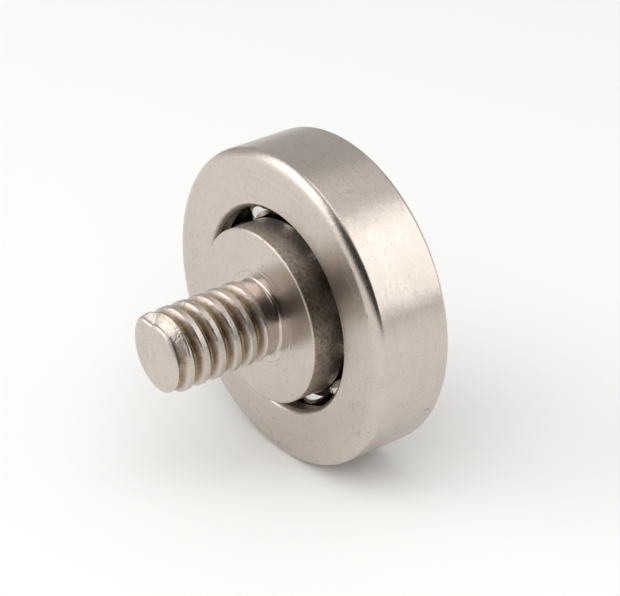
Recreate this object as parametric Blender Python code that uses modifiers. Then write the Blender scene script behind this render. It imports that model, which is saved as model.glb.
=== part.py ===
"""A stud-type ball-bearing cam follower: a threaded stud carries a split inner race, and a plain
outer ring rolls round it on a full row of balls.

Each piece is built round its own local Z axis, with +Z towards the stud's threaded tip and z = 0 at
the shoulder that seats against the bracket. An empty then turns local +Z to world -Y.
"""

import math

import bmesh
import bpy

MM = 0.001

# Driving dimensions of the roller.
RING_DIAMETER = 19.05 * MM
RING_WIDTH = 5.08 * MM
RING_SETBACK = 1.19 * MM  # from the shoulder back to the ring's front face
RING_CORNER_RADIAL = 0.70 * MM
RING_CORNER_AXIAL = 0.43 * MM
BORE_DIAMETER = 12.16 * MM
BORE_MOUTH_CHAMFER = 0.25 * MM
CORNER_STEPS = 3

# The row of balls.
BALL_COUNT = 11
BALL_DIAMETER = 3.175 * MM
ROW_RADIUS = 5.68 * MM
FIRST_BALL_ANGLE = math.radians(90.9)  # anticlockwise from local X, seen from the stud's tip
GROOVE_RADIUS = 1.65 * MM
GROOVE_CLEARANCE = 0.03 * MM
GROOVE_STEPS = 8

# The inner race, which is split at the middle of the balls.
RACE_DIAMETER = 10.43 * MM
RACE_OVERHANG = 0.10 * MM  # how far its rear face stands behind the ring's
RACE_EDGE = 0.12 * MM
SPLIT_GAP = 0.03 * MM
PRESS_GAP = 0.03 * MM

# The stud, with a #10-24 UNC thread.
STUD_LENGTH = 6.88 * MM
SHANK_DIAMETER = 5.40 * MM
NECK_DIAMETER = 4.42 * MM
NECK_LENGTH = 0.85 * MM
FILLET = 0.24 * MM
FILLET_STEPS = 3
THREAD_DIAMETER = 4.78 * MM
THREAD_PITCH = 25.4 * MM / 24
THREAD_DEPTH = 0.45 * MM  # shallow, with broad rolled crests
THREAD_ROOT_FLAT = THREAD_PITCH / 8
THREAD_FLANK_ANGLE = math.radians(30)
THREAD_START = 1.35 * MM  # where the groove ends, from the shoulder
THREAD_PHASE = math.radians(-37)
THREAD_STEPS = 32  # sides of one turn
CUTTER_MARGIN = 0.12 * MM  # how far the thread cutter stands out of the stud
TIP_CHAMFER = 0.16 * MM
RIVET_FLARE = 0.60 * MM
RIVET_RECESS = 0.05 * MM
PUNCH_RADIUS = 1.10 * MM
PUNCH_DEPTH = 0.28 * MM

TURNED_STEPS = 64
MERGE = 1e-7

RING_FRONT = -RING_SETBACK
RING_BACK = RING_FRONT - RING_WIDTH
ROW_HEIGHT = (RING_FRONT + RING_BACK) / 2
RACE_BACK = RING_BACK - RACE_OVERHANG

STEEL_COLOURS = {
    "ring_steel": (0.60, 0.56, 0.52, 1.0),
    "race_steel": (0.52, 0.48, 0.44, 1.0),
    "stud_steel": (0.56, 0.52, 0.46, 1.0),
    "ball_steel": (0.72, 0.71, 0.70, 1.0),
}
STEEL_ROUGHNESS = {"ring_steel": 0.30, "race_steel": 0.36, "stud_steel": 0.38, "ball_steel": 0.06}


def clear_scene():
    for obj in list(bpy.data.objects):
        bpy.data.objects.remove(obj, do_unlink=True)


def new_collection(name):
    collection = bpy.data.collections.new(name)
    bpy.context.scene.collection.children.link(collection)
    return collection


def steel(name):
    material = bpy.data.materials.new(name)
    material.use_nodes = True
    shader = material.node_tree.nodes["Principled BSDF"]
    shader.inputs["Base Color"].default_value = STEEL_COLOURS[name]
    shader.inputs["Metallic"].default_value = 1.0
    shader.inputs["Roughness"].default_value = STEEL_ROUGHNESS[name]
    return material


def new_object(name, mesh, collection, parent=None, material=None):
    obj = bpy.data.objects.new(name, mesh)
    collection.objects.link(obj)
    obj.parent = parent
    if material:
        mesh.materials.append(material)
    return obj


def pivot(name, collection, parent=None):
    """An empty on the roller's axis, which carries what turns with it."""
    empty = new_object(name, None, collection, parent)
    empty.empty_display_size = RING_DIAMETER / 4
    return empty


def turned(name, outline, closed, collection, parent=None, material=None):
    """A turned piece, from an outline of (radius, height) points that runs down its outer side."""
    mesh = bpy.data.meshes.new(name)
    points = [(radius, 0.0, height) for radius, height in outline]
    edges = [(i, i + 1) for i in range(len(points) - 1)]
    if closed:
        edges.append((len(points) - 1, 0))
    mesh.from_pydata(points, edges, [])
    obj = new_object(name, mesh, collection, parent, material)
    screw = obj.modifiers.new("Turn", "SCREW")
    screw.axis = "Z"
    screw.angle = 2 * math.pi
    screw.steps = screw.render_steps = TURNED_STEPS
    screw.use_merge_vertices = True
    screw.merge_threshold = MERGE
    screw.use_smooth_shade = False
    return obj


def groove(bottom_radius, sign, start_radius, first, last):
    """The race groove's points from height first to height last, where it meets start_radius.

    The groove is an arc about the ball row, and sign is +1 for the ring's groove and -1 for the
    inner race's. The heights are relative to the middle of the row, and None means the groove's edge.
    """
    centre = bottom_radius - sign * GROOVE_RADIUS
    edge = math.asin(math.sqrt(1 - ((start_radius - centre) / GROOVE_RADIUS) ** 2))
    start = edge if first is None else math.asin(first / GROOVE_RADIUS)
    end = -edge if last is None else math.asin(last / GROOVE_RADIUS)
    steps = [start + (end - start) * i / GROOVE_STEPS for i in range(GROOVE_STEPS + 1)]
    return [
        (
            centre + sign * GROOVE_RADIUS * math.cos(angle),
            ROW_HEIGHT + GROOVE_RADIUS * math.sin(angle),
        )
        for angle in steps
    ]


def quarter_turns(steps):
    """The angles from 0 to a right angle, in equal steps."""
    return [math.pi / 2 * i / steps for i in range(steps + 1)]


def outer_ring_outline():
    outer = RING_DIAMETER / 2
    bore = BORE_DIAMETER / 2
    mouth = bore + BORE_MOUTH_CHAMFER
    groove_bottom = ROW_RADIUS + BALL_DIAMETER / 2 + GROOVE_CLEARANCE
    corner = [
        (
            outer - RING_CORNER_RADIAL * (1 - math.sin(angle)),
            RING_FRONT - RING_CORNER_AXIAL * (1 - math.cos(angle)),
        )
        for angle in quarter_turns(CORNER_STEPS)
    ]
    front_half = [(mouth, RING_FRONT)] + corner
    back_half = [(radius, 2 * ROW_HEIGHT - height) for radius, height in reversed(front_half)]
    raceway = groove(groove_bottom, 1, bore, None, None)
    return (
        front_half
        + back_half
        + [(bore, RING_BACK + BORE_MOUTH_CHAMFER)]
        + list(reversed(raceway))
        + [(bore, RING_FRONT - BORE_MOUTH_CHAMFER)]
    )


def front_race_outline():
    """The front half of the inner race, whose collar stands out in front of the ring."""
    outer = RACE_DIAMETER / 2
    bore = SHANK_DIAMETER / 2 + PRESS_GAP
    groove_bottom = ROW_RADIUS - BALL_DIAMETER / 2 - GROOVE_CLEARANCE
    raceway = groove(groove_bottom, -1, outer, None, SPLIT_GAP / 2)
    return (
        [(bore, 0.0), (outer - RACE_EDGE, 0.0), (outer, -RACE_EDGE)]
        + raceway
        + [(bore, raceway[-1][1])]
    )


def rear_race_outline():
    """The rear half of the inner race, countersunk for the stud's riveted end."""
    outer = RACE_DIAMETER / 2
    bore = SHANK_DIAMETER / 2 + PRESS_GAP
    groove_bottom = ROW_RADIUS - BALL_DIAMETER / 2 - GROOVE_CLEARANCE
    raceway = groove(groove_bottom, -1, outer, -SPLIT_GAP / 2, None)
    return (
        [(bore, raceway[0][1])]
        + raceway
        + [
            (outer, RACE_BACK + RACE_EDGE),
            (outer - RACE_EDGE, RACE_BACK),
            (bore + RIVET_FLARE, RACE_BACK),
            (bore, RACE_BACK + RIVET_FLARE),
        ]
    )


def stud_outline():
    """The stud before its thread is cut: tip, thread blank, neck, shank and riveted end."""
    blank = THREAD_DIAMETER / 2
    neck = NECK_DIAMETER / 2
    shank = SHANK_DIAMETER / 2
    end = RACE_BACK + RIVET_RECESS
    fillet = [
        (neck + FILLET * (1 - math.cos(angle)), FILLET * (1 - math.sin(angle)))
        for angle in quarter_turns(FILLET_STEPS)
    ]
    flare = RIVET_FLARE - RIVET_RECESS
    return (
        [
            (0.0, STUD_LENGTH),
            (blank - TIP_CHAMFER, STUD_LENGTH),
            (blank, STUD_LENGTH - TIP_CHAMFER),
            (blank, NECK_LENGTH + (blank - neck)),
            (neck, NECK_LENGTH),
        ]
        + fillet
        + [
            (shank, 0.0),
            (shank, end + flare),
            (shank + flare, end),
            (PUNCH_RADIUS, end),
            (0.0, end + PUNCH_DEPTH),
        ]
    )


def thread_cutter(collection):
    """A V-shaped ridge wound along the thread, which cuts the groove between two crests.

    It runs from the end of the groove, in front of the neck, to a whole turn beyond the tip.
    """
    crest = THREAD_DIAMETER / 2
    root = crest - THREAD_DEPTH
    top = crest + CUTTER_MARGIN
    half_root = THREAD_ROOT_FLAT / 2
    half_top = half_root + (top - root) * math.tan(THREAD_FLANK_ANGLE)
    length = STUD_LENGTH + THREAD_PITCH - THREAD_START
    turns = length / THREAD_PITCH
    bm = bmesh.new()
    section = [
        bm.verts.new((radius, 0.0, THREAD_START + height))
        for radius, height in (
            (root, -half_root),
            (top, -half_top),
            (top, half_top),
            (root, half_root),
        )
    ]
    first = bm.faces.new(section)
    steps = round(turns * THREAD_STEPS)
    bmesh.ops.spin(
        bm,
        geom=[first, *first.verts, *first.edges],
        cent=(0.0, 0.0, 0.0),
        axis=(0.0, 0.0, 1.0),
        dvec=(0.0, 0.0, length / steps),
        angle=turns * 2 * math.pi,
        steps=steps,
        use_duplicate=False,
    )
    bmesh.ops.recalc_face_normals(bm, faces=bm.faces)
    mesh = bpy.data.meshes.new("thread_cutter")
    bm.to_mesh(mesh)
    bm.free()
    cutter = new_object("thread_cutter", mesh, collection)
    cutter.rotation_euler.z = THREAD_PHASE
    cutter.hide_render = True
    cutter.display_type = "WIRE"
    return cutter


def make_stud(collection, helpers, axis, material):
    stud = turned("stud", stud_outline(), False, collection, axis, material)
    cutter = thread_cutter(helpers)
    cutter.parent = axis
    cut = stud.modifiers.new("Thread", "BOOLEAN")
    cut.operation = "DIFFERENCE"
    cut.object = cutter
    return stud


def ball_mesh(material):
    bm = bmesh.new()
    bmesh.ops.create_icosphere(bm, subdivisions=3, radius=BALL_DIAMETER / 2)
    mesh = bpy.data.meshes.new("ball")
    bm.to_mesh(mesh)
    bm.free()
    mesh.shade_smooth()
    mesh.materials.append(material)
    return mesh


def make_balls(collection, row_axis, material):
    mesh = ball_mesh(material)
    for index in range(BALL_COUNT):
        angle = FIRST_BALL_ANGLE + 2 * math.pi * index / BALL_COUNT
        ball = new_object(f"ball_{index + 1:02d}", mesh, collection, row_axis)
        ball.location = (
            ROW_RADIUS * math.cos(angle),
            ROW_RADIUS * math.sin(angle),
            ROW_HEIGHT,
        )


def main():
    clear_scene()
    bpy.context.scene.unit_settings.system = "METRIC"
    bpy.context.scene.unit_settings.scale_length = 1.0
    collection = new_collection("cam_follower")
    helpers = new_collection("cutters")
    materials = {name: steel(name) for name in STEEL_COLOURS}

    axis = pivot("follower_axis", collection)
    axis.rotation_euler.x = math.pi / 2
    ring_axis = pivot("ring_axis", collection, axis)
    row_axis = pivot("ball_row_axis", collection, axis)

    make_stud(collection, helpers, axis, materials["stud_steel"])
    race_steel = materials["race_steel"]
    turned("front_race", front_race_outline(), True, collection, axis, race_steel)
    turned("rear_race", rear_race_outline(), True, collection, axis, race_steel)
    turned("outer_ring", outer_ring_outline(), True, collection, ring_axis, materials["ring_steel"])
    make_balls(collection, row_axis, materials["ball_steel"])


main()
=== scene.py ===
"""The looks of a stud-type cam follower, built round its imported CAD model.

Every piece is turned about the Y axis of the row frame, with -Y towards the stud's tip. An outline
is a list of (radius, y) points in metres. Sizes come from the CAD nodes' boxes, apart from the few
that repeat the CAD design's own and the small wear that only this script shows.
"""

import math

import bmesh
import bpy
import numpy as np
from mathutils import Matrix, Vector


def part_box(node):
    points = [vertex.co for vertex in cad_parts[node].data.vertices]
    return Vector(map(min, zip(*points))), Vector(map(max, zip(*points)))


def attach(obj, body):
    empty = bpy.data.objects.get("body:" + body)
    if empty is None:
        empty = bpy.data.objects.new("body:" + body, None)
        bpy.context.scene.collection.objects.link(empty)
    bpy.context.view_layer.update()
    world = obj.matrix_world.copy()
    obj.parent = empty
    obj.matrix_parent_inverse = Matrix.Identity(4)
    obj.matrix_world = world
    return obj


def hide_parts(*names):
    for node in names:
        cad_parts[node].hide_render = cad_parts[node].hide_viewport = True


MM = 0.001
TURN = 2 * math.pi

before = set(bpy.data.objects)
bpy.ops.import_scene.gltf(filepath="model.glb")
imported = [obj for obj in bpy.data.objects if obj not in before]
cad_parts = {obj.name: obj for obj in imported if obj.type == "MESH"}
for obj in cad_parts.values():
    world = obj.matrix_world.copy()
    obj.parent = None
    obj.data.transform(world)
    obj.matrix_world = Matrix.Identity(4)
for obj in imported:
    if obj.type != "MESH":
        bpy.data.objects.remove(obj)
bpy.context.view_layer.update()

# Sizes read from the CAD nodes.
ring_low, ring_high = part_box("outer_ring")
race_low, race_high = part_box("front_race")
rear_low, rear_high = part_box("rear_race")
stud_low, stud_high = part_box("stud")
ball_low, ball_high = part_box("ball_01")

RING_RADIUS = ring_high.x
RING_FRONT = ring_low.y
RING_BACK = ring_high.y
ROW_PLANE = (RING_FRONT + RING_BACK) / 2
RACE_RADIUS = race_high.x
SHOULDER = race_low.y
SPLIT_GAP = rear_low.y - race_high.y
RACE_BACK = rear_high.y
STUD_TIP = stud_low.y
STUD_END = stud_high.y
BALL_RADIUS = (ball_high.y - ball_low.y) / 2
BALL_CENTRES = {
    node: (low + high) / 2
    for node, (low, high) in ((f"ball_{i:02d}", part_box(f"ball_{i:02d}")) for i in range(1, 12))
}
ROW_RADIUS = math.hypot(BALL_CENTRES["ball_01"].x, BALL_CENTRES["ball_01"].z)

# Sizes that repeat the CAD design's own.
BORE_RADIUS = 6.08 * MM
BORE_MOUTH = 0.25 * MM
CORNER_RADIAL = 0.70 * MM
CORNER_AXIAL = 0.43 * MM
GROOVE_RADIUS = 1.65 * MM
GROOVE_CLEARANCE = 0.03 * MM
RACE_EDGE = 0.12 * MM
SHANK_RADIUS = 2.70 * MM
NECK_RADIUS = 2.21 * MM
NECK_LENGTH = 0.85 * MM
THREAD_RADIUS = 2.39 * MM
THREAD_PITCH = 25.4 * MM / 24
THREAD_DEPTH = 0.45 * MM
THREAD_FLANK_ANGLE = math.radians(30)
THREAD_START = 1.35 * MM  # where the groove ends, from the shoulder
THREAD_PHASE = math.radians(-37)
RIVET_FLARE = 0.60 * MM
PUNCH_RADIUS = 1.10 * MM
PUNCH_DEPTH = 0.28 * MM

# The races and the ring, closer than the CAD model shows them.
PRESS_GAP = 0.004 * MM  # between a race's bore and the shank
CORNER_POWER = 1.7  # 2 is an ellipse, and 1 is a straight chamfer
MOUTH_EDGE = 0.025 * MM
GROOVE_EDGE = 0.03 * MM
JOINT_EDGE_STUD = 0.012 * MM
JOINT_EDGE_RACE = 0.008 * MM
TOOL_RING_RADIUS = 3.03 * MM  # a fine turned ring on the collar's face
TOOL_RING_HALF_WIDTH = 0.07 * MM
TOOL_RING_DEPTH = 0.012 * MM
COLLAR_BEVEL_RADIAL = 0.125 * MM
COLLAR_BEVEL_AXIAL = 0.055 * MM

# The stud, closer than the CAD model shows it.
NECK_FILLET = 0.20 * MM
NECK_STEP = 0.14 * MM  # the length over which the thread's blank steps down to the neck
ROOT_ROUNDING = 0.10 * MM
CREST_ROUNDING = 0.06 * MM
RUN_OUT = 0.35 * MM  # the length over which the groove rises out of the metal beside the neck
RUN_OUT_RISE = THREAD_DEPTH + 0.30 * MM
TIP_DROP = 0.08 * MM  # how far the tip's face falls away at its edge
TIP_BEVEL = 0.17 * MM  # the width over which it does
TIP_EDGE = -STUD_TIP - TIP_DROP
TIP_ROUNDING = 0.08 * MM
LAST_TURN = 5  # the turn of the groove that ends at the tip, counted from THREAD_START
LAST_CUT_LEVEL = TIP_EDGE - 0.06 * MM  # where that turn levels out
LAST_CUT_DEEPER = 0.25 * MM
LAST_CUT_RISE = 0.95 * MM
LAST_CUT_FROM = -60  # in degrees from +X towards +Z, as are the next two
LAST_CUT_DEEPENS = (-20, 40)
LAST_CUT_RISES = (105, 160)

# How finely each mesh is divided.
RING_STEPS = 288
RACE_STEPS = 256
STUD_COLUMNS = 216
ROWS_PER_PITCH = 40
BALL_CUTS = 23
ARC_STEP = math.radians(9)
HOLD = 0.03 * MM  # the loops that keep a flat face flat beside a rounded edge


# ---------------------------------------------------------------- outlines


def rounded(corners, closed=False):
    """An outline through (radius, y, rounding) corners, with each corner turned into an arc."""
    count = len(corners)
    points = [Vector(corner[:2]) for corner in corners]
    outline = []
    for i, corner in enumerate(corners):
        rounding = corner[2] if len(corner) > 2 else 0
        here = points[i]
        at_end = not closed and i in (0, count - 1)
        if at_end or rounding == 0:
            outline.append(here)
            continue
        back = (points[i - 1] - here).normalized()
        on = (points[(i + 1) % count] - here).normalized()
        half = back.angle(on) / 2
        reach = rounding / math.tan(half)
        centre = here + (back + on).normalized() * rounding / math.sin(half)
        start = here + back * reach - centre
        sweep = math.pi - 2 * half
        turn = 1 if back.x * on.y - back.y * on.x < 0 else -1
        steps = max(2, math.ceil(sweep / ARC_STEP))
        outline.append(here + back * (reach + HOLD))
        for k in range(steps + 1):
            spin = Matrix.Rotation(turn * sweep * k / steps, 2)
            outline.append(centre + spin @ start)
        outline.append(here + on * (reach + HOLD))
    return [(point.x, point.y) for point in outline]


def edged(arc, rounding, *ends):
    """The points of an arc, with a rounding at its first (0) or last (-1) point."""
    corners = list(arc)
    for end in ends:
        corners[end] = (*corners[end], rounding)
    return corners


def ring_corner(inward, steps=12):
    """The ring's worn corner, from face to tread. inward is +1 in front and -1 at the back."""
    face = RING_FRONT if inward > 0 else RING_BACK
    points = []
    for k in range(steps + 1):
        angle = math.pi / 2 * k / steps
        across = CORNER_RADIAL * (1 - math.sin(angle) ** (2 / CORNER_POWER))
        along = CORNER_AXIAL * (1 - math.cos(angle) ** (2 / CORNER_POWER))
        points.append((RING_RADIUS - across, face + inward * along))
    inner = (points[0][0] - HOLD, face)
    outer = (RING_RADIUS, points[-1][1] + inward * HOLD)
    return [inner, *points, outer]


def groove(bottom, sign, land, first, last, steps=28):
    """A race groove as an arc, from offset first to offset last.

    An offset is the distance in front of the middle of the balls, and None stands for the groove's
    own edge at the radius land. The sign is +1 for the ring's groove and -1 for the inner race's.
    """
    centre = bottom - sign * GROOVE_RADIUS
    edge = math.asin(math.sqrt(1 - ((land - centre) / GROOVE_RADIUS) ** 2))
    start = edge if first is None else math.asin(first / GROOVE_RADIUS)
    end = -edge if last is None else math.asin(last / GROOVE_RADIUS)
    angles = [start + (end - start) * k / steps for k in range(steps + 1)]
    return [
        (centre + sign * GROOVE_RADIUS * math.cos(a), ROW_PLANE - GROOVE_RADIUS * math.sin(a))
        for a in angles
    ]


def ring_outline():
    mouth = BORE_RADIUS + BORE_MOUTH
    raceway = groove(ROW_RADIUS + BALL_RADIUS + GROOVE_CLEARANCE, 1, BORE_RADIUS, None, None)
    corners = [
        (mouth, RING_FRONT, MOUTH_EDGE),
        *ring_corner(1),
        *reversed(ring_corner(-1)),
        (mouth, RING_BACK, MOUTH_EDGE),
        (BORE_RADIUS, RING_BACK - BORE_MOUTH, MOUTH_EDGE),
        *reversed(edged(raceway, GROOVE_EDGE, 0, -1)),
        (BORE_RADIUS, RING_FRONT + BORE_MOUTH, MOUTH_EDGE),
    ]
    return rounded(corners, closed=True)


def front_race_outline():
    bore = SHANK_RADIUS + PRESS_GAP
    bottom = ROW_RADIUS - BALL_RADIUS - GROOVE_CLEARANCE
    raceway = groove(bottom, -1, RACE_RADIUS, None, SPLIT_GAP / 2)
    corners = [
        (bore, SHOULDER, JOINT_EDGE_RACE),
        (TOOL_RING_RADIUS - TOOL_RING_HALF_WIDTH, SHOULDER, 0.01 * MM),
        (TOOL_RING_RADIUS, SHOULDER + TOOL_RING_DEPTH, 0.01 * MM),
        (TOOL_RING_RADIUS + TOOL_RING_HALF_WIDTH, SHOULDER, 0.01 * MM),
        (RACE_RADIUS - COLLAR_BEVEL_RADIAL, SHOULDER, 0.04 * MM),
        (RACE_RADIUS, SHOULDER + COLLAR_BEVEL_AXIAL, 0.04 * MM),
        *edged(raceway, GROOVE_EDGE, 0),
        (bore, raceway[-1][1]),
    ]
    return rounded(corners, closed=True)


def rear_race_outline():
    bore = SHANK_RADIUS + PRESS_GAP
    bottom = ROW_RADIUS - BALL_RADIUS - GROOVE_CLEARANCE
    raceway = groove(bottom, -1, RACE_RADIUS, -SPLIT_GAP / 2, None)
    corners = [
        (bore, raceway[0][1]),
        *edged(raceway, GROOVE_EDGE, -1),
        (RACE_RADIUS, RACE_BACK - RACE_EDGE, 0.06 * MM),
        (RACE_RADIUS - RACE_EDGE, RACE_BACK, 0.06 * MM),
        (bore + RIVET_FLARE, RACE_BACK, 0.03 * MM),
        (bore, RACE_BACK - RIVET_FLARE, 0.10 * MM),
    ]
    return rounded(corners, closed=True)


def stud_rear_outline():
    """The stud from the end of its thread to its riveted end, with the punch mark in the middle."""
    flare = SHANK_RADIUS + RIVET_FLARE - (RACE_BACK - STUD_END)
    corners = [
        (NECK_RADIUS, -NECK_LENGTH),
        (NECK_RADIUS, 0.0, NECK_FILLET),
        (SHANK_RADIUS, 0.0, JOINT_EDGE_STUD),
        (SHANK_RADIUS, STUD_END - (flare - SHANK_RADIUS), 0.12 * MM),
        (flare, STUD_END, 0.07 * MM),
        (PUNCH_RADIUS, STUD_END, 0.25 * MM),
        (0.0, STUD_END - PUNCH_DEPTH),
    ]
    return rounded(corners)[1:]


# ---------------------------------------------------------------- meshes


def add_piece(name, mesh, body, nodes, material):
    obj = bpy.data.objects.new(name, mesh)
    bpy.context.scene.collection.objects.link(obj)
    mesh.materials.append(material)
    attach(obj, body)
    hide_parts(*nodes)
    return obj


def finish_mesh(bm, name):
    bmesh.ops.remove_doubles(bm, verts=bm.verts, dist=1e-8)
    bmesh.ops.dissolve_degenerate(bm, edges=bm.edges, dist=1e-9)
    bmesh.ops.recalc_face_normals(bm, faces=bm.faces)
    mesh = bpy.data.meshes.new(name)
    bm.to_mesh(mesh)
    bm.free()
    mesh.shade_smooth()
    return mesh


def turned_mesh(name, outline, steps):
    """A mesh turned about Y from a closed outline of (radius, y) points."""
    bm = bmesh.new()
    columns = []
    for j in range(steps):
        angle = TURN * j / steps
        across, up = math.cos(angle), math.sin(angle)
        columns.append([bm.verts.new((r * across, y, r * up)) for r, y in outline])
    for j in range(steps):
        here, there = columns[j], columns[(j + 1) % steps]
        for i in range(len(outline)):
            k = (i + 1) % len(outline)
            bm.faces.new((here[i], here[k], there[k], there[i]))
    return finish_mesh(bm, name)


def smooth(value, low, high):
    """0 where value is below low and 1 above high, with a smooth step between."""
    step = np.clip((value - low) / (high - low), 0, 1)
    return step * step * (3 - 2 * step)


def soft_least(a, b, softness):
    """The smaller of two lengths, with the corner between them rounded."""
    gap = np.clip(0.5 + 0.5 * (b - a) / softness, 0, 1)
    return b * (1 - gap) + a * gap - softness * gap * (1 - gap)


def tip_radius(height):
    """The radius of the thread's blank at a height above the shoulder, up to its rounded tip."""
    near = np.clip((height - (TIP_EDGE - TIP_ROUNDING)) / TIP_ROUNDING, 0, 1)
    return THREAD_RADIUS - TIP_ROUNDING * (1 - np.sqrt(1 - near**2))


def neck_radius(height):
    """The blank's radius beside the neck, where it steps down."""
    step = smooth(height, NECK_LENGTH, NECK_LENGTH + NECK_STEP)
    return NECK_RADIUS + (THREAD_RADIUS - NECK_RADIUS) * step


def flank_rise(offset):
    """How much further out the groove's side is than its root, at an offset along the axis."""
    return (np.hypot(offset, ROOT_ROUNDING) - ROOT_ROUNDING) / math.tan(THREAD_FLANK_ANGLE)


def cut_radius(height, angle):
    """The radius that the thread's groove cuts down to, at a height and an angle about the axis.

    The groove rises out of the metal over its last third of a turn, beside the neck.
    """
    turns = (height - THREAD_START) / THREAD_PITCH - (angle - THREAD_PHASE) / TURN
    offset = (turns - np.round(turns)) * THREAD_PITCH
    centre = height - offset
    rise = np.clip((THREAD_START - centre) / RUN_OUT, 0, 1)
    root = THREAD_RADIUS - THREAD_DEPTH + rise**1.5 * RUN_OUT_RISE
    return root + flank_rise(offset)


def tip_cut_radius(height, angle):
    """The groove's last turn, which levels out just below the tip's face and deepens, then ends."""
    along = np.mod(np.degrees(angle) - LAST_CUT_FROM, 360) + LAST_CUT_FROM
    turns = LAST_TURN + (along - math.degrees(THREAD_PHASE)) / 360
    centre = np.minimum(THREAD_START + THREAD_PITCH * turns, LAST_CUT_LEVEL)
    root = THREAD_RADIUS - THREAD_DEPTH - LAST_CUT_DEEPER * smooth(along, *LAST_CUT_DEEPENS)
    root = root + LAST_CUT_RISE * smooth(along, *LAST_CUT_RISES)
    return root + flank_rise(height - centre)


def stud_rings(columns):
    """Rings of (x, y, z) points, from the middle of the stud's tip to that of its riveted end."""
    angles = TURN * np.arange(columns) / columns
    threaded = np.arange(TIP_EDGE - TIP_ROUNDING, NECK_LENGTH, -THREAD_PITCH / ROWS_PER_PITCH)
    tip = TIP_EDGE - TIP_ROUNDING * (1 - np.cos(np.linspace(0, math.pi / 2, 10, endpoint=False)))
    heights = np.concatenate([tip, threaded, [NECK_LENGTH]])
    height, angle = np.meshgrid(heights, angles, indexing="ij")
    blank = np.minimum(tip_radius(height), neck_radius(height))
    cut = np.minimum(cut_radius(height, angle), tip_cut_radius(height, angle))
    radius = soft_least(blank, cut, CREST_ROUNDING)
    radius[-1] = NECK_RADIUS
    # The tip's face is flat in the middle, with closer rings where it falls away to its edge.
    inner = 0.72
    outer = 1 - (1 - inner) * np.linspace(0.93, 0, 14)[:-1] ** 1.6
    face = np.concatenate([np.linspace(0, inner, 10), outer])
    inset = (1 - face[:, None]) * radius[0]
    near_edge = np.clip(1 - inset / TIP_BEVEL, 0, 1)
    face_height = TIP_EDGE + TIP_DROP * (1 - near_edge**1.3)
    rear = np.array(stud_rear_outline())
    rear_radius = np.repeat(rear[:, :1], columns, axis=1)
    rear_height = np.repeat(-rear[:, 1:], columns, axis=1)
    radius = np.concatenate([face[:, None] * radius[0], radius, rear_radius])
    height = np.concatenate([face_height, height, rear_height])
    return np.stack([radius * np.cos(angles), -height, radius * np.sin(angles)], axis=2)


def stud_mesh(name):
    bm = bmesh.new()
    rings = [[bm.verts.new(point) for point in ring] for ring in stud_rings(STUD_COLUMNS)]
    for ring, following in zip(rings, rings[1:]):
        for j in range(STUD_COLUMNS):
            k = (j + 1) % STUD_COLUMNS
            bm.faces.new((ring[j], ring[k], following[k], following[j]))
    return finish_mesh(bm, name)


def ball_mesh(name):
    """An even ball, made from a cube that is divided and then pushed out to the radius."""
    bm = bmesh.new()
    bmesh.ops.create_cube(bm, size=2 * BALL_RADIUS)
    bmesh.ops.subdivide_edges(bm, edges=bm.edges, cuts=BALL_CUTS, use_grid_fill=True)
    for vert in bm.verts:
        vert.co = Vector([math.tan(c / BALL_RADIUS * math.pi / 4) for c in vert.co])
        vert.co = vert.co.normalized() * BALL_RADIUS
    return finish_mesh(bm, name)


# ---------------------------------------------------------------- materials

# Base colours, as linear light.
LIGHT_STEEL = (0.63, 0.565, 0.51, 1)
SHADED_STEEL = (0.57, 0.50, 0.445, 1)
STAIN = (0.27, 0.20, 0.14, 1)
# Oil film with painted shade, for the bearing's grooves and the ring's bore.
OIL_FILM_AND_SHADE = (0.17, 0.125, 0.09, 1)
# Painted shade for the thread's grooves.
THREAD_GROOVE_SHADE = (0.25, 0.19, 0.135, 1)
# Golden patches laid within the thread's painted groove shade.
GOLDEN = (0.62, 0.46, 0.22, 1)
BRIGHT_BALL = (0.74, 0.73, 0.71, 1)
FILMED_BALL = (0.60, 0.58, 0.55, 1)

# Where each film with painted shade, stain and band starts and ends, in millimetres.
RING_OIL_SHADE_RADIUS = (7.40, 7.50)  # just outside the bottom of the ring's groove
RING_OIL_SHADE_REACH = (2.38, 2.54)  # from the middle of the balls, across the bore's mouth
RACE_OIL_SHADE_REACH = (1.52, 1.72)  # from the middle of the balls, at the groove's edge
TIP_BAND_HEIGHT = (6.30, 6.45)  # the last turn of the thread, kept free of the painted groove shade on top as painted light
TIP_FACE_HEIGHT = (6.74, 6.80)  # the rounding round the tip's face


def add(tree, kind, inputs=None, **settings):
    made = tree.nodes.new(kind)
    for key, value in settings.items():
        setattr(made, key, value)
    for key, value in (inputs or {}).items():
        if isinstance(value, bpy.types.NodeSocket):
            tree.links.new(value, made.inputs[key])
        else:
            made.inputs[key].default_value = value
    return made


def calc(tree, operation, *values):
    """A Math node on sockets or numbers."""
    return add(tree, "ShaderNodeMath", dict(enumerate(values)), operation=operation).outputs[0]


def multiply(tree, *values):
    product = values[0]
    for value in values[1:]:
        product = calc(tree, "MULTIPLY", product, value)
    return product


def inverse(tree, value):
    return calc(tree, "SUBTRACT", 1.0, value)


def fade(tree, value, low, high):
    """0 where value is below low and 1 above high, with a smooth step between."""
    return add(
        tree,
        "ShaderNodeMapRange",
        {"Value": value, "From Min": low, "From Max": high},
        interpolation_type="SMOOTHSTEP",
    ).outputs[0]


def noise(tree, vector, scale, detail=3.0, roughness=0.5, w=None):
    """A noise from 0 to 1. vector is in millimetres, so scale is per millimetre."""
    inputs = {"Vector": vector, "Scale": scale, "Detail": detail, "Roughness": roughness}
    if w is not None:
        inputs["W"] = w
    dimensions = "3D" if w is None else "4D"
    return add(tree, "ShaderNodeTexNoise", inputs, noise_dimensions=dimensions).outputs[0]


def blend_colour(tree, factor, first, second):
    mix = add(tree, "ShaderNodeMix", {0: factor, 6: first, 7: second}, data_type="RGBA")
    return mix.outputs[2]


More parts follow.
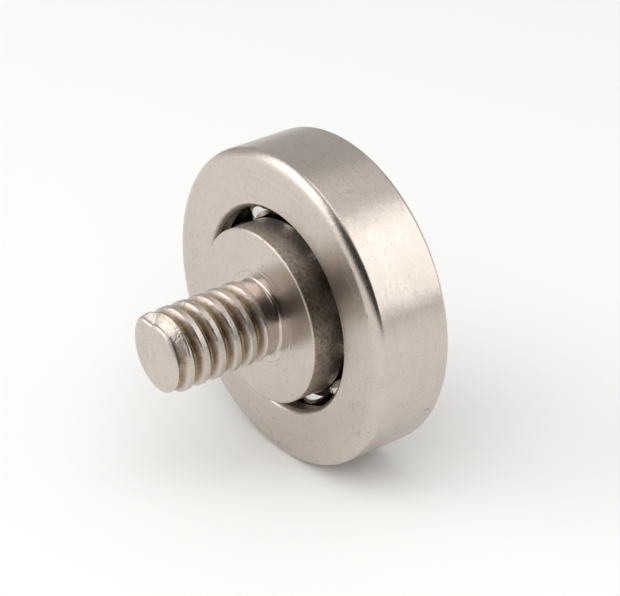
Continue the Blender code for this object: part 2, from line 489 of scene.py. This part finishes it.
def tint(tree, colour, towards, factor, strength=1.0):
    """Blends a colour towards another one by a factor from 0 to 1 and a strength."""
    if strength != 1.0:
        factor = calc(tree, "MULTIPLY", factor, strength)
    return blend_colour(tree, factor, colour, towards)


class Turned:
    """The coordinates that a turned piece's material reads, in millimetres about the Y axis."""

    def __init__(self, tree):
        place = add(tree, "ShaderNodeTexCoord").outputs["Object"]
        scaled = add(tree, "ShaderNodeVectorMath", {0: place, 3: 1 / MM}, operation="SCALE")
        self.vector = scaled.outputs[0]
        parts = add(tree, "ShaderNodeSeparateXYZ", {0: self.vector}).outputs
        self.x, self.y, self.z = parts
        squares = [calc(tree, "MULTIPLY", c, c) for c in (self.x, self.z)]
        self.radius = calc(tree, "SQRT", calc(tree, "ADD", *squares))
        safe = calc(tree, "MAXIMUM", self.radius, 0.001)
        self.across = calc(tree, "DIVIDE", self.x, safe)
        self.up = calc(tree, "DIVIDE", self.z, safe)

    def marks(self, tree, spacing, stretch):
        """Turning marks: a noise drawn out round the axis. spacing is in millimetres."""
        vector = add(
            tree,
            "ShaderNodeCombineXYZ",
            {
                0: calc(tree, "MULTIPLY", self.across, stretch),
                1: calc(tree, "MULTIPLY", self.up, stretch),
                2: calc(tree, "MULTIPLY", self.radius, 1 / spacing),
            },
        ).outputs[0]
        w = calc(tree, "MULTIPLY", self.y, 1 / spacing)
        return noise(tree, vector, 1.0, 2.0, 0.6, w)


def new_steel(name, roughness, anisotropy):
    material = bpy.data.materials.new(name)
    material.use_nodes = True
    tree = material.node_tree
    shader = tree.nodes["Principled BSDF"]
    shader.inputs["Metallic"].default_value = 1.0
    shader.inputs["Roughness"].default_value = roughness
    shader.inputs["Anisotropic"].default_value = anisotropy
    shader.inputs["Anisotropic Rotation"].default_value = 0.25
    if anisotropy:
        tangent = add(tree, "ShaderNodeTangent", direction_type="RADIAL", axis="Y")
        tree.links.new(tangent.outputs[0], shader.inputs["Tangent"])
    return material, tree, shader


def bumps(tree, shader, layers):
    """Stacks (height, depth in millimetres) layers of relief."""
    normal = None
    for height, depth in layers:
        inputs = {"Height": height, "Distance": depth * MM, "Strength": 1.0}
        if normal:
            inputs["Normal"] = normal
        normal = add(tree, "ShaderNodeBump", inputs).outputs[0]
    tree.links.new(normal, shader.inputs["Normal"])


def row_distance(tree, turned):
    """How far along the axis a point is from the middle of the balls, in millimetres."""
    return calc(tree, "ABSOLUTE", calc(tree, "SUBTRACT", turned.y, ROW_PLANE / MM))


def scratches(tree, vector, turn, scale, chance):
    """Short straight scratches: a noise that is stretched along one direction and cut off high."""
    stretched = add(
        tree,
        "ShaderNodeMapping",
        {"Vector": vector, "Rotation": turn, "Scale": (scale, scale * 0.22, scale * 0.6)},
    ).outputs[0]
    return fade(tree, noise(tree, stretched, 1.0, 1.0), chance, chance + 0.03)


def turned_steel(name, roughness, anisotropy, film):
    """Satin turned steel.

    The film function adds the bearing's oil and stain, and painted shade in the grooves and the
    bore.
    It takes the tree, the coordinates and the colour, and returns the new colour and a mask from 0
    to 1 of where the steel is duller.
    """
    material, tree, shader = new_steel(name, roughness, anisotropy)
    turned = Turned(tree)
    coarse = turned.marks(tree, 0.22, 1.0)
    fine = turned.marks(tree, 0.05, 2.5)
    grain = noise(tree, turned.vector, 14.0, 3.0, 0.7)
    mottle = noise(tree, turned.vector, 3.2, 4.0, 0.7)
    cloud = noise(tree, turned.vector, 0.45, 4.0, 0.6)
    speck = noise(tree, turned.vector, 5.0, 2.0)
    crust = noise(tree, turned.vector, 5.0, 2.0, 0.7)
    nicks = calc(
        tree,
        "MAXIMUM",
        scratches(tree, turned.vector, (0.4, 0.9, 0.2), 3.6, 0.765),
        scratches(tree, turned.vector, (1.3, -0.5, 1.9), 3.0, 0.765),
    )
    shade = calc(tree, "MULTIPLY_ADD", grain, 0.7, calc(tree, "MULTIPLY", cloud, 0.5))
    colour = blend_colour(tree, fade(tree, shade, 0.35, 0.85), LIGHT_STEEL, SHADED_STEEL)
    colour = tint(tree, colour, SHADED_STEEL, fade(tree, fine, 0.56, 0.76), 0.7)
    colour = tint(tree, colour, SHADED_STEEL, fade(tree, coarse, 0.52, 0.66), 0.6)
    colour = tint(tree, colour, STAIN, fade(tree, mottle, 0.50, 0.72), 0.22)
    colour = tint(tree, colour, STAIN, fade(tree, speck, 0.76, 0.80))
    colour = tint(tree, colour, STAIN, nicks, 0.55)
    colour, dulled = film(tree, turned, colour)
    tree.links.new(colour, shader.inputs["Base Color"])
    uneven = calc(tree, "MULTIPLY_ADD", cloud, 0.10, roughness - 0.05)
    uneven = calc(tree, "MULTIPLY_ADD", dulled, 0.16, uneven)
    tree.links.new(uneven, shader.inputs["Roughness"])
    relief = [(coarse, 0.005), (fine, 0.003), (grain, 0.0035), (mottle, 0.006), (nicks, -0.006)]
    bumps(tree, shader, [*relief, (multiply(tree, crust, dulled), 0.03)])
    return material


def ring_oil_and_shade(tree, turned, colour):
    """Oil film and painted shade in the ring's bore and its race groove."""
    # Oil film and painted shade: the bore and the groove are darkened nearly to black.
    inside = inverse(tree, fade(tree, turned.radius, *RING_OIL_SHADE_RADIUS))
    deep = inverse(tree, fade(tree, row_distance(tree, turned), *RING_OIL_SHADE_REACH))
    film = multiply(tree, inside, deep)
    return tint(tree, colour, OIL_FILM_AND_SHADE, film, 0.9), film


def race_stain_oil_and_shade(tree, turned, colour):
    """Brown stain blotches on the collar's side, made lighter on top as painted light, and oil film
    and painted shade in the race groove.
    """
    side = fade(tree, turned.radius, RACE_RADIUS / MM - 0.06, RACE_RADIUS / MM - 0.01)
    large = fade(tree, noise(tree, turned.vector, 1.5, 5.0, 0.7), 0.38, 0.66)
    small = fade(tree, noise(tree, turned.vector, 5.0, 4.0, 0.75), 0.42, 0.62)
    # Painted light: the large blotches are weaker on the top of the collar's side, where light
    # falls from above.
    lit_top = fade(tree, turned.up, 0.60, 0.92)
    blotch_off_lit_top = calc(tree, "MULTIPLY_ADD", lit_top, -0.8, 1.0)
    blotch = multiply(tree, blotch_off_lit_top, calc(tree, "MULTIPLY_ADD", large, 0.25, 0.35))
    blotch = calc(tree, "MULTIPLY_ADD", small, 0.50, blotch)
    colour = tint(tree, colour, STAIN, multiply(tree, side, blotch))
    # Oil film and painted shade in the race groove, beside the balls.
    deep = inverse(tree, fade(tree, row_distance(tree, turned), *RACE_OIL_SHADE_REACH))
    return tint(tree, colour, OIL_FILM_AND_SHADE, deep, 0.9), side


def stud_steel():
    """Rolled thread: bright worn crests and tip, grooves darkened with painted shade, and a smooth
    neck.
    """
    material, tree, shader = new_steel("stud_steel_satin", 0.36, 0.35)
    turned = Turned(tree)
    height = calc(tree, "MULTIPLY", turned.y, -1.0)
    cloud = noise(tree, turned.vector, 2.4, 4.0, 0.65)
    grain = noise(tree, turned.vector, 12.0, 3.0, 0.7)
    pits = noise(tree, turned.vector, 4.6, 2.0, 0.6)
    worn = noise(tree, turned.vector, 1.6, 2.0)
    speck = fade(tree, noise(tree, turned.vector, 7.0, 3.0, 0.7), 0.58, 0.70)
    threaded = fade(tree, height, NECK_LENGTH / MM + 0.05, NECK_LENGTH / MM + 0.25)
    on_face = fade(tree, height, *TIP_FACE_HEIGHT)

    # Painted shade in the thread's grooves, kept off the tip's face and the top of the last turn,
    # with golden patches within it.
    crest, depth = THREAD_RADIUS / MM, THREAD_DEPTH / MM
    deep = inverse(tree, fade(tree, turned.radius, crest - 0.75 * depth, crest - 0.05))
    on_top = fade(tree, turned.up, 0.25, 0.65)
    # Painted light: the painted groove shade stops on the top of the thread's last turn, leaving a
    # bright band there.
    lit_top_band = multiply(tree, fade(tree, height, *TIP_BAND_HEIGHT), on_top)
    painted_groove_shade = multiply(tree, deep, threaded, inverse(tree, on_face), inverse(tree, lit_top_band))
    golden = multiply(tree, painted_groove_shade, inverse(tree, fade(tree, cloud, 0.25, 0.60)))

    shade = calc(tree, "MULTIPLY_ADD", grain, 0.6, calc(tree, "MULTIPLY", cloud, 0.6))
    colour = blend_colour(tree, fade(tree, shade, 0.45, 0.75), LIGHT_STEEL, SHADED_STEEL)
    # Painted shade in the grooves, then golden patches in it.
    colour = tint(tree, colour, THREAD_GROOVE_SHADE, painted_groove_shade, 0.92)
    colour = tint(tree, colour, GOLDEN, golden, 0.5)
    colour = tint(tree, colour, STAIN, speck, 0.5)
    tree.links.new(colour, shader.inputs["Base Color"])

    rough = calc(tree, "MULTIPLY_ADD", cloud, 0.18, 0.15)
    rough = calc(tree, "MULTIPLY_ADD", threaded, 0.10, rough)
    tree.links.new(rough, shader.inputs["Roughness"])
    skin = calc(tree, "MULTIPLY_ADD", threaded, 0.85, 0.15)
    skin = multiply(tree, skin, calc(tree, "MULTIPLY_ADD", on_face, -0.75, 1.0))
    relief = [(worn, 0.036), (pits, 0.024), (grain, 0.008)]
    bumps(tree, shader, [(multiply(tree, texture, skin), rise) for texture, rise in relief])
    return material


def ball_steel():
    material, tree, shader = new_steel("ball_steel_polished", 0.05, 0.0)
    turned = Turned(tree)
    film = noise(tree, turned.vector, 1.6, 3.0)
    colour = blend_colour(tree, film, BRIGHT_BALL, FILMED_BALL)
    tree.links.new(colour, shader.inputs["Base Color"])
    tree.links.new(calc(tree, "MULTIPLY_ADD", film, 0.05, 0.02), shader.inputs["Roughness"])
    bumps(tree, shader, [(noise(tree, turned.vector, 9.0, 2.0), 0.0001)])
    return material


# ---------------------------------------------------------------- stage


def add_stage():
    """The pale paper floor that the ring stands on."""
    bm = bmesh.new()
    bmesh.ops.create_grid(bm, x_segments=1, y_segments=1, size=2.0)
    mesh = bpy.data.meshes.new("floor")
    bm.to_mesh(mesh)
    bm.free()
    floor = bpy.data.objects.new("floor", mesh)
    floor.location.z = -RING_RADIUS - 0.002 * MM
    bpy.context.scene.collection.objects.link(floor)
    paper = bpy.data.materials.new("floor_paper")
    paper.use_nodes = True
    shader = paper.node_tree.nodes["Principled BSDF"]
    shader.inputs["Base Color"].default_value = (0.88, 0.88, 0.87, 1)
    shader.inputs["Roughness"].default_value = 0.8
    mesh.materials.append(paper)


def compass(azimuth, elevation, distance):
    """A point seen from the follower. Azimuth 0 is -Y, and 90 is +X."""
    a, e = math.radians(azimuth), math.radians(elevation)
    return Vector((math.sin(a) * math.cos(e), -math.cos(a) * math.cos(e), math.sin(e))) * distance


def aim(obj, target):
    obj.rotation_euler = (target - obj.location).to_track_quat("-Z", "Y").to_euler()


def softbox(name, azimuth, elevation, distance, width, height, radiance, colour=(1, 1, 1)):
    """An area lamp aimed at the follower. Its reflection is as bright at any size or distance."""
    lamp = bpy.data.lights.new(name, "AREA")
    lamp.shape = "RECTANGLE"
    lamp.size = width
    lamp.size_y = height
    lamp.energy = radiance * math.pi * width * height
    lamp.color = colour
    obj = bpy.data.objects.new(name, lamp)
    obj.location = compass(azimuth, elevation, distance)
    obj.visible_camera = False
    bpy.context.scene.collection.objects.link(obj)
    aim(obj, Vector((0, 0, 0)))
    return obj


def dark_card(name, azimuth, elevation, distance, width, height, colour):
    """A card that only reflections see, like the dark room behind a photographer."""
    bm = bmesh.new()
    bmesh.ops.create_grid(bm, x_segments=1, y_segments=1, size=0.5)
    mesh = bpy.data.meshes.new(name)
    bm.to_mesh(mesh)
    bm.free()
    card = bpy.data.objects.new(name, mesh)
    card.location = compass(azimuth, elevation, distance)
    card.scale = (width, height, 1)
    aim(card, Vector((0, 0, 0)))
    bpy.context.scene.collection.objects.link(card)
    cloth = bpy.data.materials.new(name + "_cloth")
    cloth.use_nodes = True
    shader = cloth.node_tree.nodes["Principled BSDF"]
    shader.inputs["Base Color"].default_value = colour
    shader.inputs["Roughness"].default_value = 1.0
    shader.inputs["Specular IOR Level"].default_value = 0.0
    mesh.materials.append(cloth)
    card.visible_camera = False
    card.visible_diffuse = False
    card.visible_shadow = False


def add_world(colour, strength):
    world = bpy.data.worlds.new("studio")
    world.use_nodes = True
    shader = world.node_tree.nodes["Background"]
    shader.inputs["Color"].default_value = colour
    shader.inputs["Strength"].default_value = strength
    bpy.context.scene.world = world


def add_camera():
    lens = bpy.data.cameras.new("camera")
    lens.lens = 127.74
    lens.sensor_width = 36.0
    lens.clip_start = 0.001
    camera = bpy.data.objects.new("camera", lens)
    target = Vector((0.82, 3.11, 0.49)) * MM
    camera.location = target + compass(52.03, 29.36, 125.43 * MM)
    bpy.context.scene.collection.objects.link(camera)
    aim(camera, target)
    bpy.context.scene.camera = camera


def add_lights():
    """Softboxes for the bright bands in the steel, and a fill that only the floor sees."""
    add_world((1.0, 0.995, 0.985, 1), 0.55)
    cool_white = (0.98, 0.99, 1.0)
    warm_black = (0.03, 0.021, 0.015, 1)
    key = softbox("key_softbox", 138, 30, 0.30, 0.22, 0.30, 1.5, cool_white)
    top = softbox("top_softbox", 180, 80, 0.40, 0.25, 0.25, 1.2)
    softbox("left_softbox", -34, 25, 0.40, 0.31, 0.37, 1.7)
    fill = softbox("floor_fill", 45, 60, 0.50, 0.60, 0.60, 1.75)
    key.visible_diffuse = False
    top.visible_diffuse = False
    fill.visible_glossy = False
    dark_card("dark_card", 45, 22, 0.5, 1.43, 0.70, warm_black)


# ---------------------------------------------------------------- the follower


def add_balls():
    """The balls, each turned differently so that no two show the same film."""
    polished = ball_steel()
    for i, (node, centre) in enumerate(BALL_CENTRES.items()):
        mesh = ball_mesh(node + "_polished")
        mesh.transform(Matrix.Rotation(2.4 * i, 4, Vector((1, i % 3, 2)).normalized()))
        mesh.transform(Matrix.Translation(centre))
        add_piece(node + "_polished", mesh, "ball_row", [node], polished)


def add_follower():
    ring_steel = turned_steel("ring_steel_satin", 0.27, 0.65, ring_oil_and_shade)
    race_steel = turned_steel("race_steel_stained_and_shaded", 0.29, 0.65, race_stain_oil_and_shade)
    ring = turned_mesh("ring_turned", ring_outline(), RING_STEPS)
    add_piece("ring_turned", ring, "outer_ring", ["outer_ring"], ring_steel)
    for node, outline in (("front_race", front_race_outline()), ("rear_race", rear_race_outline())):
        race = turned_mesh(node + "_turned", outline, RACE_STEPS)
        add_piece(node + "_turned", race, "stud", [node], race_steel)
    stud = stud_mesh("stud_threaded")
    add_piece("stud_threaded", stud, "stud", ["stud"], stud_steel())
    add_balls()


add_camera()
add_stage()
add_lights()
add_follower()
bpy.context.scene.view_settings.view_transform = "Standard"
